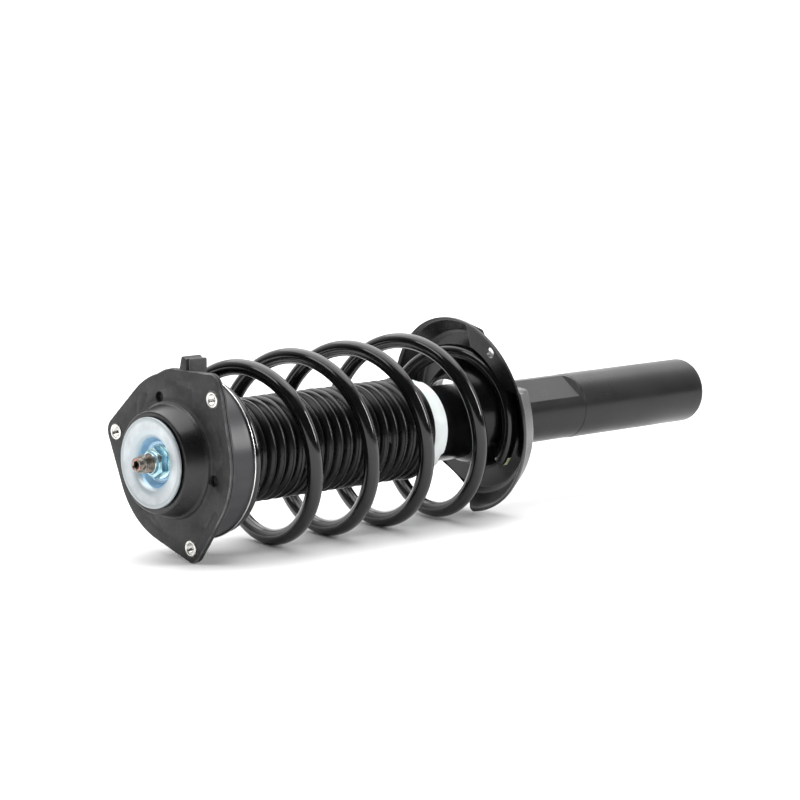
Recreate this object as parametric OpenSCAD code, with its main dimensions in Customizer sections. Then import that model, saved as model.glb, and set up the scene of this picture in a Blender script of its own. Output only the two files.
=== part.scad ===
// Front suspension strut assembly, lying on its side.
// The damper axis runs along +X from the top mount to the closed end of the tube, and +Z is up.
// Stations (names ending in _s) are distances along the damper axis from the rim of the dished washer.

/* [Placement] */
// Height of the damper axis above the surface the strut lies on
axis_height = 77; // [60:0.5:100]
// Station of the threaded tip of the rod, ahead of the washer rim
tip_s = -13.4; // [-30:0.1:0]
// Station of the closed end of the damper tube
end_s = 613.4; // [500:0.1:700]

/* [Damper tube] */
// Outer radius of the clamped length of the damper tube
tube_r = 27.5; // [20:0.1:35]
// How far the tube above the clamped length is drawn below that radius
tube_draw = 0.3; // [0:0.05:0.5]
// Station where the clamped length starts
clamp_s = 457; // [455:0.5:500]
// Wall thickness of the damper tube
tube_wall = 2.4; // [1.5:0.1:4]
// Station of the rolled top edge of the tube
tube_top_s = 271; // [250:0.5:300]
// Corner radius of the closed end
tube_end_r = 6; // [2:0.5:12]
// Thickness of the closed end
tube_end_wall = 3; // [2:0.1:6]
// Station where the pressed flat starts
flat_start_s = 362; // [355:1:420]
// Station where the pressed flat ends
flat_end_s = 452; // [430:1:500]
// Depth of the pressed flat below the round
flat_depth = 3.7; // [1:0.1:6]
// Direction the pressed flat faces, from +Y towards +Z
flat_dir = 126.5; // [0:0.5:360]

/* [Damper inside] */
// Bore radius of the pressure tube
bore_r = 15.1; // [12:0.05:18]
// Wall thickness of the pressure tube
pressure_wall = 1.5; // [1:0.1:3]
// Radius of the piston rod
rod_r = 11; // [8:0.1:14]
// Radius of the threaded end of the rod (M14)
thread_r = 7; // [5:0.1:8]
// Station of the shoulder where the rod becomes thin
rod_shoulder_s = 37; // [30:0.5:50]
// Running clearance round the rod and the piston
run_gap = 0.05; // [0.02:0.01:0.1]
// Station of the upper face of the rod guide
guide_s = 279; // [270:0.5:290]
// Station of the piston
piston_s = 322; // [315:0.5:360]
// Station of the foot of the pressure tube
foot_s = 588; // [560:1:600]

/* [Lower spring seat] */
// Radius of the seat rim
seat_r = 82; // [70:0.5:95]
// Station of the centre of the seat rim
seat_s = 330; // [310:0.5:350]
// Lean of the seat towards the mount at the top
seat_lean = 6.9; // [0:0.1:12]
// Turn of the seat about the upright axis
seat_turn = 5; // [0:0.1:10]
// Depth of the spring channel below the rim
seat_depth = 18; // [10:0.5:25]
// Sheet thickness of the seat
seat_wall = 3; // [2:0.1:5]
// Gap between the seat rim and the surface the strut lies on
rim_gap = 0.4; // [0:0.1:2]
// Distance of the trimmed edge from the seat centre
trim_offset = 66; // [55:0.5:80]
// Direction the trimmed edge faces
trim_dir = -59; // [-180:1:180]
// Direction where the raised flat of the rim starts
raised_from = 106; // [90:1:120]
// Direction where the raised flat of the rim ends
raised_to = 159; // [140:1:175]
// Radius of the wall that carries the raised flat
raised_r = 61; // [60:0.5:70]

/* [Coil spring] */
// Radius of the spring wire
wire_r = 6.3; // [4:0.1:8]
// Coil radius at the top mount end
coil_top_r = 53; // [45:0.5:60]
// Coil radius of the first full coil
coil_mid_r = 69; // [60:0.5:80]
// Growth of the coil radius per turn
coil_growth = 0.6; // [0:0.1:2]
// Coil radius of the last turn, in the lower seat
coil_end_r = 54.5; // [50:0.5:65]
// Rise of the last turn above the damper axis
coil_end_rise = 3; // [0:0.5:8]
// Station of the first turn
coil_start_s = 57.5; // [54:0.5:65]
// Station of the end of the last turn
coil_end_s = 336; // [320:0.5:345]

/* [Top mount] */
// Outer radius of the dished washer
washer_r = 34.8; // [30:0.1:40]
// Station of the front face of the mount plate
plate_s = 22.5; // [18:0.5:30]
// Thickness of the mount plate with its rubber skin
plate_t = 5; // [3:0.5:8]
// Radius of the mount plate between the lobes
plate_r = 67; // [60:0.5:75]
// Distance of the bolt centres from the axis
bolt_r = 68.6; // [60:0.1:75]
// Radius of each lobe
lobe_r = 11.2; // [10:0.1:18]
// Direction of the first lobe, from +Y towards +Z
lobe_dir = 12.6; // [0:0.1:120]
// Outer radius of the threaded inserts
insert_r = 6.2; // [5:0.1:8]
// Tapping radius of the M8 inserts
insert_bore_r = 3.35; // [2.5:0.05:4]
// Radius of the blind moulding holes between the lobes
blind_r = 4.2; // [3:0.1:6]
// Distance of the moulding holes from the axis
blind_at = 49; // [45:0.5:55]

/* [Bearing and upper seat] */
// Pitch radius of the ball row
ball_row_r = 33.5; // [28:0.5:40]
// Radius of each ball
ball_r = 2.5; // [1.5:0.1:4]
// Number of balls
ball_count = 24; // [12:1:36]
// Station of the ball centres
ball_s = 34; // [30:0.5:38]
// Radius of the upper spring seat skirt
skirt_r = 62; // [55:0.5:70]
// Station of the open edge of the skirt
skirt_s = 51; // [45:0.5:60]

/* [Bellows and bump stop] */
// Outer radius of the bellows ribs
bellows_r = 41; // [36:0.5:46]
// Depth of each rib
rib_depth = 6; // [3:0.5:9]
// Number of ribs
rib_count = 20; // [12:1:30]
// Station of the first rib
rib_start_s = 56; // [50:1:70]
// Station of the end of the last rib
rib_end_s = 256; // [240:1:262]
// Wall thickness of the bellows
bellows_wall = 1.3; // [0.8:0.1:2]
// Radius of the white cap on top of the tube
cap_r = 38.2; // [34:0.1:42]
// Station of the lower edge of the white cap
cap_end_s = 280.7; // [275:0.1:285]
// Station of the upper face of the white cap
cap_top_s = 262; // [255:0.5:266]

/* [Hidden] */
$fn = 96;
eps = 0.01;
cut = 1;
mid_s = (tip_s + end_s) / 2;
lobes = [0, 1, 2];
third_turn = 120;
plate_back_s = plate_s + plate_t;
seat_rise = seat_r * cos(seat_lean) - axis_height + rim_gap;
drawn_r = tube_r - tube_draw;
tube_bore_r = tube_r - tube_wall;
pressure_r = bore_r + pressure_wall;
// spring winding, in turns counted from the far side of the first free coil
turn_first = -1;
turn_last = 4.6;
rise_from = -0.55;
rise_blend = 0.5;
set_blend = 0.4;
coil_pitch = (coil_end_s - coil_start_s)
    / ((turn_last - rise_from) - rise_blend / 2 - set_blend / 2);

// ---------- shared shapes ----------

// turns the build frame (stations along Z, up along Y) into the lying strut
module lay() {
    translate([-mid_s, 0, axis_height]) rotate([90, 0, 90]) children();
}

// a solid ring between two radii and two stations
module ring(inner, outer, from_s, to_s) {
    translate([0, 0, from_s]) difference() {
        cylinder(r = outer, h = to_s - from_s);
        translate([0, 0, -cut]) cylinder(r = inner, h = to_s - from_s + 2 * cut);
    }
}

// a solid turned from a profile of [radius, station] points
module turned(profile) {
    rotate_extrude() polygon(profile);
}

// part of a turned solid between two directions
module sector(profile, from_dir, to_dir) {
    rotate([0, 0, from_dir]) rotate_extrude(angle = to_dir - from_dir) polygon(profile);
}

module at_lobes(distance) {
    for (k = lobes) rotate([0, 0, lobe_dir + third_turn * k]) translate([distance, 0, 0]) children();
}

// plate outline: a disc with three lobes joined to it by common tangents
module plate_outline(inset) {
    disc = plate_r - inset;
    lobe = lobe_r - inset;
    touch = acos((disc - lobe) / bolt_r);
    circle(r = disc);
    for (k = lobes) rotate(lobe_dir + third_turn * k) {
        translate([bolt_r, 0]) circle(r = lobe);
        polygon([[0, 0], [disc * cos(touch), -disc * sin(touch)],
            [bolt_r + lobe * cos(touch), -lobe * sin(touch)],
            [bolt_r + lobe * cos(touch), lobe * sin(touch)],
            [disc * cos(touch), disc * sin(touch)]]);
    }
}

// land that fills the edge from the tab to the second lobe
module tab_land() {
    corner_r = 10;
    corner = [-43.5, 59.6];
    polygon(concat([[19.6, 63.8], [9, 68.4], [1, 70.2]],
        [for (a = [90:13:155]) corner + corner_r * [cos(a), sin(a)]], [[-54.5, 50], [-40, 48], [0, 58]]));
}

// ---------- top mount ----------

module dish_washer() {
    hole = thread_r + 0.1;
    floor_front = 11;
    floor_back = 13.6;
    well_r = 16.5;
    color([0.86, 0.89, 0.92]) lay() turned([[hole, floor_front], [well_r, floor_front],
        [19.3, 3.4], [20.7, 2.2], [23, 1.5], [washer_r - 1, 0], [washer_r, 0.6], [washer_r, 2.2],
        [washer_r - 0.5, 2.7], [23.4, 4.1], [21.9, 5], [18.9, floor_back - 0.6],
        [18.2, floor_back], [hole, floor_back]]);
}

module rod_nut() {
    across_flats = 21;
    hex_from = 2.6;
    hex_to = 11;
    color([0.72, 0.82, 0.84]) lay() difference() {
        union() {
            intersection() {
                translate([0, 0, hex_from]) cylinder(r = across_flats / sqrt(3), h = hex_to - hex_from, $fn = 6);
                turned([[0, hex_from], [10.6, hex_from], [12.3, 3.6], [12.3, hex_to], [0, hex_to]]);
            }
            turned([[0, -0.8], [7.8, -0.8], [8.3, -0.2], [8.3, hex_from + cut], [0, hex_from + cut]]);
            turned([[0, 9.6], [12.6, 9.6], [13.4, 10.2], [13.4, hex_to], [0, hex_to]]);
        }
        translate([0, 0, -2]) cylinder(r = thread_r + 0.03, h = hex_to + 4);
    }
}

module threaded_inserts() {
    from_s = plate_s - 0.6;
    to_s = plate_back_s + 0.5;
    color([0.78, 0.78, 0.76]) lay() at_lobes(bolt_r) turned([[insert_bore_r, from_s + 0.8],
        [insert_bore_r + 0.8, from_s], [insert_r - 0.3, from_s], [insert_r, from_s + 0.3],
        [insert_r, to_s], [insert_bore_r, to_s]]);
}

module mount_core() {
    skin = 1.5;
    hub_hole = 27;
    color([0.35, 0.35, 0.36]) lay() difference() {
        translate([0, 0, plate_s + skin]) linear_extrude(plate_t - 2 * skin) plate_outline(2);
        translate([0, 0, plate_s]) cylinder(r = hub_hole, h = plate_t);
        at_lobes(bolt_r) translate([0, 0, plate_s]) cylinder(r = insert_r, h = plate_t);
        rotate([0, 0, third_turn / 2]) at_lobes(blind_at) translate([0, 0, plate_s])
            cylinder(r = blind_r, h = plate_t);
    }
}

module mount_rubber() {
    skin = 1.5;
    sleeve_r = 11.5;
    hub_hole = 27;
    hub_r = 25;
    hub_back = rod_shoulder_s;
    tab_front = plate_s + 0.4;
    tab_depth = 17.8;
    tab_side = -20.5;
    color([0.09, 0.09, 0.095]) lay() {
        difference() {
            union() {
                translate([0, 0, plate_s]) linear_extrude(plate_t) union() {
                    plate_outline(0);
                    tab_land();
                }
                turned([[0, 14], [21.4, 14], [24, 5.4], [37.6, 3.3], [38.7, 3.6], [39.1, 4.6],
                    [42.9, 18.6], [44, 19.4], [44.4, 20.4], [46.4, plate_s + cut], [0, plate_s + cut]]);
                translate([0, 0, plate_s]) cylinder(r = hub_r, h = hub_back - plate_s);
                // tab with one slanted side, standing back from the plate
                translate([0, 0, tab_front]) linear_extrude(tab_depth) polygon([[tab_side, 66.5],
                    [tab_side, 78.6], [-14.5, 78.6], [-12.4, 80.2], [-11, 79.8], [-7.2, 66.5]]);
            }
            translate([0, 0, cut]) cylinder(r = sleeve_r, h = hub_back);
            difference() {
                translate([0, 0, plate_s + skin]) linear_extrude(plate_t - 2 * skin) plate_outline(2);
                cylinder(r = hub_hole, h = hub_back);
            }
            at_lobes(bolt_r) cylinder(r = insert_r, h = hub_back);
            rotate([0, 0, third_turn / 2]) at_lobes(blind_at)
                translate([0, 0, plate_s - cut]) cylinder(r = blind_r, h = plate_t - skin + cut);
            // groove down the front corner of the tab
            translate([tab_side + 2.6, 82, tab_front]) rotate([90, 0, 0]) rotate([0, 0, 45])
                translate([-1.5, -1.5, 0]) cube([3, 3, 12]);
        }
    }
}

module inner_sleeve() {
    color([0.62, 0.62, 0.6]) lay() ring(thread_r + 0.1, 11.5, 13.6, rod_shoulder_s);
}

// ---------- bearing and upper spring seat ----------

module race(from_s, to_s, groove) {
    difference() {
        ring(27, 40, from_s, to_s);
        rotate_extrude() translate([ball_row_r, ball_s]) circle(r = groove);
    }
}

module bearing_upper_race() {
    color([0.6, 0.6, 0.6]) lay() race(plate_back_s, 32.2, ball_r + 0.3);
}

module bearing_lower_race() {
    color([0.6, 0.6, 0.6]) lay() race(35.8, 39.5, ball_r + 0.3);
}

module bearing_cage() {
    pocket = ball_r + 0.15;
    color([0.82, 0.78, 0.62]) lay() difference() {
        ring(29.5, 37.5, ball_s - 0.9, ball_s + 0.9);
        for (k = [0:ball_count - 1]) rotate([0, 0, 360 * k / ball_count])
            translate([ball_row_r, 0, ball_s - 2]) cylinder(r = pocket, h = 4);
    }
}

module bearing_balls() {
    color([0.8, 0.8, 0.82]) lay() for (k = [0:ball_count - 1]) rotate([0, 0, 360 * k / ball_count])
        translate([ball_row_r, 0, ball_s]) sphere(r = ball_r);
}

module upper_spring_seat() {
    sheet = 2;
    front = plate_back_s + 1;
    floor_s = 39.5;
    lip_r = skirt_r + 1.6;
    color([0.2, 0.2, 0.21]) lay() turned([[26.5, floor_s], [skirt_r - sheet, floor_s],
        [skirt_r - sheet, front + sheet], [50, front + sheet], [50, front], [skirt_r - 1.5, front],
        [skirt_r, front + 1.5], [skirt_r, skirt_s - 2], [lip_r, skirt_s - 1], [lip_r, skirt_s],
        [skirt_r - sheet, skirt_s], [skirt_r - sheet, floor_s + sheet], [26.5, floor_s + sheet]]);
}

module spring_isolator() {
    base_s = 41.5;
    inner = 44;
    outer = skirt_r - 2.1;
    shoulder = 53;
    color([0.12, 0.12, 0.12]) lay() difference() {
        turned([[inner, base_s], [outer, base_s], [outer, shoulder - 1], [outer - 1, shoulder],
            [inner + 1, shoulder], [inner, shoulder - 1]]);
        rotate_extrude() translate([coil_top_r, coil_start_s]) circle(r = wire_r + 0.02);
    }
}

// ---------- coil spring ----------

function smooth(t) = t <= 0 ? 0 : t >= 1 ? 1 : t * t * (3 - 2 * t);
function run_up(u, w) = u <= 0 ? 0 : u < w ? u * u / (2 * w) : u - w / 2;
function coil_s(n) = n < (turn_first + turn_last) / 2
    ? coil_start_s + coil_pitch * run_up(n - rise_from, rise_blend)
    : coil_end_s - coil_pitch * run_up(turn_last - n, set_blend);
function coil_free_r(n) = coil_mid_r + coil_growth * n;
function top_share(n) = 1 - smooth(n + 0.5);
function end_share(n) = smooth((n - 3.65) / 0.6);
function coil_radius(n) = coil_free_r(n) * (1 - top_share(n)) * (1 - end_share(n))
    + coil_top_r * top_share(n) + coil_end_r * end_share(n);
// every free coil touches the same level under the strut
function coil_rise(n) = (coil_free_r(n) + wire_r - axis_height) * (1 - top_share(n)) * (1 - end_share(n))
    + coil_end_rise * end_share(n);
function coil_point(n) = [coil_radius(n) * cos(360 * n),
    coil_rise(n) + coil_radius(n) * sin(360 * n), coil_s(n)];
function unit(v) = v / norm(v);
// a ring of wire surface points square to the wire
function wire_ring(n, sides) = let (
    p = coil_point(n),
    along = unit(coil_point(n + 0.002) - coil_point(n - 0.002)),
    out = [cos(360 * n), sin(360 * n), 0],
    across = unit(out - along * (out * along)),
    side = cross(along, across)
) [for (k = [0:sides - 1]) p + wire_r * (cos(360 * k / sides) * across + sin(360 * k / sides) * side)];

module coil_spring() {
    sides = 16;
    steps = 200;
    turns = turn_last - turn_first;
    points = [for (i = [0:steps]) each wire_ring(turn_first + turns * i / steps, sides)];
    walls = [for (i = [0:steps - 1]) for (k = [0:sides - 1]) let (next = (k + 1) % sides)
        each [[i * sides + k, i * sides + next, (i + 1) * sides + k],
            [i * sides + next, (i + 1) * sides + next, (i + 1) * sides + k]]];
    first = [for (k = [0:sides - 1]) sides - 1 - k];
    last = [for (k = [0:sides - 1]) steps * sides + k];
    color([0.05, 0.05, 0.055]) lay() polyhedron(points, concat(walls, [first], [last]), convexity = 12);
}

// ---------- bellows and bump stop ----------

function rib_profile(grow) = let (pitch = (rib_end_s - rib_start_s) / rib_count)
    [for (i = [0:rib_count - 1]) each [
        [bellows_r - rib_depth + grow, rib_start_s + pitch * (i + 0.08)],
        [bellows_r - 0.6 + grow, rib_start_s + pitch * (i + 0.4)],
        [bellows_r + grow, rib_start_s + pitch * (i + 0.5)],
        [bellows_r - 0.6 + grow, rib_start_s + pitch * (i + 0.6)],
        [bellows_r - rib_depth + grow, rib_start_s + pitch * (i + 0.92)]]];

function backwards(list) = [for (i = [len(list) - 1:-1:0]) list[i]];

module bellows() {
    collar_s = 41.5;
    neck_r = 34;
    sleeve_in = 39.8;
    sleeve_end = 263.2;
    color([0.03, 0.03, 0.03]) lay() turned(concat(
        [[29, collar_s], [43.5, collar_s], [43.5, collar_s + 1.6], [neck_r + bellows_wall, collar_s + 1.6],
            [neck_r + bellows_wall, rib_start_s - 1]],
        rib_profile(0),
        [[bellows_r - rib_depth, rib_end_s], [sleeve_in + 1, rib_end_s + 2], [sleeve_in + 2, rib_end_s + 3.6],
            [sleeve_in + 2, sleeve_end - 0.6], [sleeve_in + 1.4, sleeve_end], [sleeve_in, sleeve_end],
            [sleeve_in, rib_end_s + 4.4], [bellows_r - rib_depth - bellows_wall, rib_end_s + 1.4]],
        backwards(rib_profile(-bellows_wall)),
        [[neck_r, rib_start_s - 1], [neck_r, collar_s + 1.6], [29, collar_s + 1.6]]));
}

module bump_stop_cup() {
    floor_s = rod_shoulder_s;
    color([0.5, 0.5, 0.5]) lay() turned([[11.6, floor_s], [22.5, floor_s], [24, floor_s + 1.5],
        [24, 50.5], [22.6, 50.5], [22.6, floor_s + 1.5], [11.6, floor_s + 1.5]]);
}

module bump_stop() {
    hole = 11.4;
    color([0.85, 0.75, 0.45]) lay() turned([[hole, 38.5], [22.4, 38.5], [22.4, 52], [25, 55],
        [26, 60], [24.6, 64], [20, 67.5], [20, 69.5], [24, 73], [25, 77], [23.6, 81], [19, 84.5],
        [19, 86.5], [22, 90], [22.6, 94], [20, 100], [16, 106], [14.6, 108], [hole, 108]]);
}

// ---------- piston rod and piston ----------

module piston_rod() {
    spigot_r = 5;
    socket_flats = 6;
    socket_depth = 7;
    lower_end = piston_s + 24;
    color([0.8, 0.8, 0.82]) lay() difference() {
        turned([[0, tip_s], [thread_r - 1.6, tip_s], [thread_r, tip_s + 1.8], [thread_r, rod_shoulder_s],
            [rod_r - 0.5, rod_shoulder_s], [rod_r, rod_shoulder_s + 0.5], [rod_r, piston_s - 6],
            [rod_r - 1, piston_s - 5], [spigot_r, piston_s - 5], [spigot_r, lower_end - 1],
            [spigot_r - 1, lower_end], [0, lower_end]]);
        translate([0, 0, tip_s - cut])
            cylinder(r = socket_flats / sqrt(3), h = socket_depth + cut, $fn = 6);
    }
}

module rebound_stop() {
    color([0.75, 0.72, 0.6]) lay() turned([[rod_r + 0.02, 307.5], [13.6, 307.5], [14.3, 308.5],
        [14.3, 313.5], [13.6, 314.5], [rod_r + 0.02, 314.5]]);
}

module upper_shims() {
    color([0.7, 0.7, 0.72]) lay() for (i = [0:3])
        ring(5.05, 9 + i * 1.2, piston_s - 5 + i * 1.2, piston_s - 4.2 + i * 1.2 + (i == 3 ? 0.6 : 0.4));
}

module piston() {
    port_r = 1.6;
    port_at = 9.5;
    band_r = bore_r - 1.1;
    color([0.45, 0.45, 0.44]) lay() difference() {
        turned([[5.05, piston_s], [bore_r - 0.5, piston_s], [bore_r - 0.5, piston_s + 2],
            [band_r, piston_s + 2], [band_r, piston_s + 10], [bore_r - 0.5, piston_s + 10],
            [bore_r - 0.5, piston_s + 12], [5.05, piston_s + 12]]);
        for (k = [0:7]) rotate([0, 0, 45 * k]) translate([port_at, 0, piston_s - cut])
            cylinder(r = port_r, h = 12 + 2 * cut);
    }
}

module piston_band() {
    color([0.3, 0.24, 0.2]) lay() ring(bore_r - 1.1, bore_r - run_gap, piston_s + 2, piston_s + 10);
}

module lower_shims() {
    color([0.7, 0.7, 0.72]) lay() for (i = [0:2])
        ring(5.05, 12 - i * 1.5, piston_s + 12 + i * 1.2, piston_s + 13.2 + i * 1.2);
}

module piston_nut() {
    color([0.6, 0.6, 0.6]) lay() difference() {
        translate([0, 0, piston_s + 15.6]) cylinder(r = 16 / sqrt(3), h = 7, $fn = 6);
        cylinder(r = 5.03, h = piston_s + 30);
    }
}

// ---------- damper tube and its inside ----------

module tube_cap() {
    flange_r = 39.5;
    color([0.93, 0.95, 0.94]) lay() difference() {
        turned([[14, cap_top_s], [flange_r - 0.6, cap_top_s], [flange_r, cap_top_s + 0.6],
            [flange_r, cap_top_s + 2.4], [cap_r, cap_top_s + 3.2], [cap_r, cap_end_s - 0.8],
            [cap_r - 0.8, cap_end_s], [cap_r - 2.2, cap_end_s], [cap_r - 2.2, cap_top_s + 3],
            [tube_r + 2.2, cap_top_s + 3], [tube_r + 2.2, cap_end_s - 2], [drawn_r + 0.02, cap_end_s - 2],
            [drawn_r + 0.02, tube_top_s - 0.5], [24, tube_top_s - 0.5], [24, cap_top_s + 3],
            [14, cap_top_s + 3]]);
        // bleed slots round the rod hole
        for (k = lobes) rotate([0, 0, third_turn * k]) translate([15, -2, cap_top_s - cut])
            cube([5, 4, 3 + 2 * cut]);
    }
}

module rod_seal() {
    color([0.1, 0.1, 0.1]) lay() turned([[rod_r + run_gap, 273.6], [13.5, 273.2], [tube_bore_r - 0.05, 273.2],
        [tube_bore_r - 0.05, guide_s], [rod_r + run_gap, guide_s]]);
}

module rod_guide() {
    spigot_s = guide_s + 21;
    color([0.4, 0.4, 0.38]) lay() turned([[12.6, guide_s], [tube_bore_r - 0.05, guide_s],
        [tube_bore_r - 0.05, guide_s + 12], [20, spigot_s], [bore_r - 0.02, spigot_s],
        [bore_r - 0.02, spigot_s + 5], [12.6, spigot_s + 5]]);
}

module guide_bush() {
    color([0.6, 0.45, 0.25]) lay() ring(rod_r + run_gap, 12.6, guide_s, guide_s + 26);
}

module pressure_tube() {
    color([0.6, 0.6, 0.62]) lay() ring(bore_r, pressure_r, guide_s + 21, foot_s);
}

module base_valve() {
    port_r = 1.8;
    color([0.45, 0.45, 0.44]) lay() difference() {
        turned([[3, foot_s - 8], [bore_r - 0.02, foot_s - 8], [bore_r - 0.02, foot_s], [20, foot_s],
            [tube_bore_r - 0.3, foot_s + 9], [tube_bore_r - 0.3, end_s - tube_end_wall - tube_end_r],
            [tube_bore_r - 4.4, end_s - tube_end_wall], [20, end_s - tube_end_wall], [20, foot_s + 12],
            [3, foot_s + 12]]);
        for (k = [0:5]) rotate([0, 0, 60 * k]) translate([9, 0, foot_s - 8 - cut])
            cylinder(r = port_r, h = 20 + 2 * cut);
        for (k = [0:3]) rotate([0, 0, 90 * k + 45]) translate([18, 0, foot_s + 16])
            rotate([0, 90, 0]) cylinder(r = 3, h = 12);
    }
}

module base_shims() {
    color([0.7, 0.7, 0.72]) lay() turned([[0, foot_s - 12.5], [4.5, foot_s - 12.5], [4.5, foot_s - 10.4],
        [11.5, foot_s - 10.4], [11.5, foot_s - 8], [2.98, foot_s - 8], [2.98, foot_s + 14.5],
        [0, foot_s + 14.5]]);
}

module outer_tube() {
    flat_half = tube_r;
    flat_outer = tube_r - flat_depth;
    flat_inner = flat_outer - tube_wall;
    fade = 5;
    color([0.045, 0.045, 0.05]) lay() difference() {
        intersection() {
            turned([[0, tube_top_s], [drawn_r - 1.6, tube_top_s], [drawn_r, tube_top_s + 1.6],
                [drawn_r, clamp_s], [tube_r, clamp_s + 0.5], [tube_r, end_s], [0, end_s]]);
            union() {
                cylinder(r = tube_r + cut, h = end_s - tube_end_r);
                rotate_extrude() {
                    square([tube_r - tube_end_r, end_s]);
                    translate([tube_r - tube_end_r, end_s - tube_end_r]) circle(r = tube_end_r);
                }
            }
        }
        // inside of the tube, pushed in behind the pressed flat
        difference() {
            turned([[0, tube_top_s - cut], [19, tube_top_s - cut], [19, tube_top_s + 2.2],
                [tube_bore_r, tube_top_s + 2.2], [tube_bore_r, end_s - tube_end_wall - tube_end_r + 2],
                [tube_bore_r - 4, end_s - tube_end_wall], [0, end_s - tube_end_wall]]);
            rotate([0, 0, flat_dir]) translate([flat_inner, -flat_half, flat_start_s - tube_wall])
                cube([tube_r, 2 * flat_half, flat_end_s - flat_start_s + 2 * tube_wall]);
        }
        rotate([0, 0, flat_dir]) translate([flat_outer, flat_half, 0]) rotate([90, 0, 0])
            linear_extrude(2 * flat_half) polygon([[0, flat_start_s], [0, flat_end_s],
                [flat_depth + cut, flat_end_s + fade], [flat_depth + cut, flat_start_s - fade]]);
    }
}

// ---------- lower spring seat ----------

module in_seat() {
    translate([0, seat_rise, seat_s]) rotate([-seat_lean, -seat_turn, 0]) children();
}

module lower_spring_seat() {
    neck_top = 283.5;
    neck_end = 353;
    neck_r = 31;
    channel_in = 47;
    channel_out = 67;
    hole_r = 4.6;
    hole_at = 73.5;
    floor_edge = 57;
    hole_dir = 129.8;
    step = 2.4;
    floor_at = seat_depth;
    back_at = seat_depth + seat_wall;
    color([0.05, 0.05, 0.055]) lay() difference() {
        union() {
            in_seat() difference() {
                turned([[seat_r, 0], [seat_r, 2], [seat_r - 1.4, 4.6], [72, seat_depth + 1.6],
                    [channel_out + 1, seat_depth + seat_wall], [channel_in, seat_depth + seat_wall],
                    [channel_in - 4.5, seat_depth + 0.5], [40, 9], [36, 1], [31, -4], [28, -4],
                    [28, -8.5], [33.5, -7.5], [39, -1.5], [43, 7.5], [channel_in - 1, seat_depth - 1.5],
                    [channel_in + 1.5, seat_depth], [channel_out - 2, seat_depth],
                    [channel_out + 2.6, seat_depth - 2.4], [seat_r - 4, 2.6], [seat_r - 2.6, 0.6],
                    [seat_r - 1.4, 0]]);
                // straight trimmed edge on the far lower side
                rotate([0, 0, trim_dir]) translate([trim_offset, -seat_r, -10])
                    cube([seat_r, 2 * seat_r, 50]);
                sector([[floor_edge, -10], [95, -10], [95, 40], [floor_edge, 40]],
                    raised_from + step / 2, raised_to - step / 2);
            }
            // raised flat with a wall down to the channel floor, and a filled step at each end
            in_seat() difference() {
                union() {
                    sector([[floor_edge - 0.3, floor_at - 0.3], [raised_r - 2, floor_at - 1.8],
                        [raised_r - 0.6, floor_at - 4.2], [raised_r + 0.5, 3.4], [raised_r + 1.9, 1.8],
                        [80, 0.6], [81, 0.35], [seat_r - 0.2, 0.35], [seat_r - 0.2, 2.1], [80.6, 3],
                        [raised_r + 4, 4.2], [raised_r + 2.8, 6], [raised_r + 2, 12], [raised_r + 0.6, 15.6],
                        [raised_r - 2.5, 18.8], [floor_edge - 0.3, back_at - 0.4]],
                        raised_from + step / 4, raised_to - step / 4);
                    for (at = [raised_from, raised_to - step]) sector([[raised_r - 0.5, floor_at - 0.1],
                        [raised_r + 0.4, 3], [raised_r + 1.8, 1.4], [80, 0.35], [81.2, 0.15],
                        [seat_r - 0.1, 0.15], [seat_r - 0.1, 1.9], [80.5, 4.4], [71.9, floor_at + 1.4],
                        [67.9, back_at - 0.15], [raised_r - 0.5, back_at - 0.15]], at, at + step);
                }
                rotate([0, 0, hole_dir]) translate([hole_at, 0, -10]) cylinder(r = hole_r, h = 50);
            }
            translate([0, 0, neck_top]) cylinder(r = neck_r, h = neck_end - neck_top);
        }
        translate([0, 0, neck_top - cut]) cylinder(r = drawn_r + 0.02, h = neck_end - neck_top + 2 * cut);
    }
}

module seat_weld() {
    weld_s = 353;
    color([0.08, 0.08, 0.085]) lay() turned([[drawn_r, weld_s], [30.8, weld_s], [30.6, weld_s + 1.6],
        [29.2, weld_s + 3.4], [drawn_r, weld_s + 4.4]]);
}

dish_washer();
rod_nut();
threaded_inserts();
mount_core();
mount_rubber();
inner_sleeve();
bearing_upper_race();
bearing_cage();
bearing_balls();
bearing_lower_race();
upper_spring_seat();
spring_isolator();
coil_spring();
bellows();
bump_stop();
bump_stop_cup();
piston_rod();
rebound_stop();
piston();
piston_band();
upper_shims();
lower_shims();
piston_nut();
tube_cap();
rod_seal();
rod_guide();
guide_bush();
pressure_tube();
base_valve();
base_shims();
outer_tube();
lower_spring_seat();
seat_weld();
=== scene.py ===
import math

import bmesh
import bpy
import numpy as np
from mathutils import Matrix, Vector, noise


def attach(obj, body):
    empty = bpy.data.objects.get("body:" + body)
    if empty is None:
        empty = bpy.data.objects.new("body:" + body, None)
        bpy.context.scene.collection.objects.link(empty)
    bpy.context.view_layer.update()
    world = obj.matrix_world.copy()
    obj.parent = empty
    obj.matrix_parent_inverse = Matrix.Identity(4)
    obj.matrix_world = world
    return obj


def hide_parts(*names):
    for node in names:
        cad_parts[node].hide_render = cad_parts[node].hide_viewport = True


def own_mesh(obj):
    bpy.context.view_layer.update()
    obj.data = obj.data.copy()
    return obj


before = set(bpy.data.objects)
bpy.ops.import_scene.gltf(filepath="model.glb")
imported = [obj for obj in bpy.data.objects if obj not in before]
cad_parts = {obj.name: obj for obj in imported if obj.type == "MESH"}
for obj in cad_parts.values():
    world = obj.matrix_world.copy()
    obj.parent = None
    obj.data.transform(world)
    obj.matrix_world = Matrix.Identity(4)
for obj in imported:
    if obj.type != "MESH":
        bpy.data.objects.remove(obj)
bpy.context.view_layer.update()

# Build coordinates: x is the row's Y, y is the height above the damper axis, s is the station
# along the axis, all in millimetres. Angles are in degrees from +x towards +y.
MM = 0.001
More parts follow.
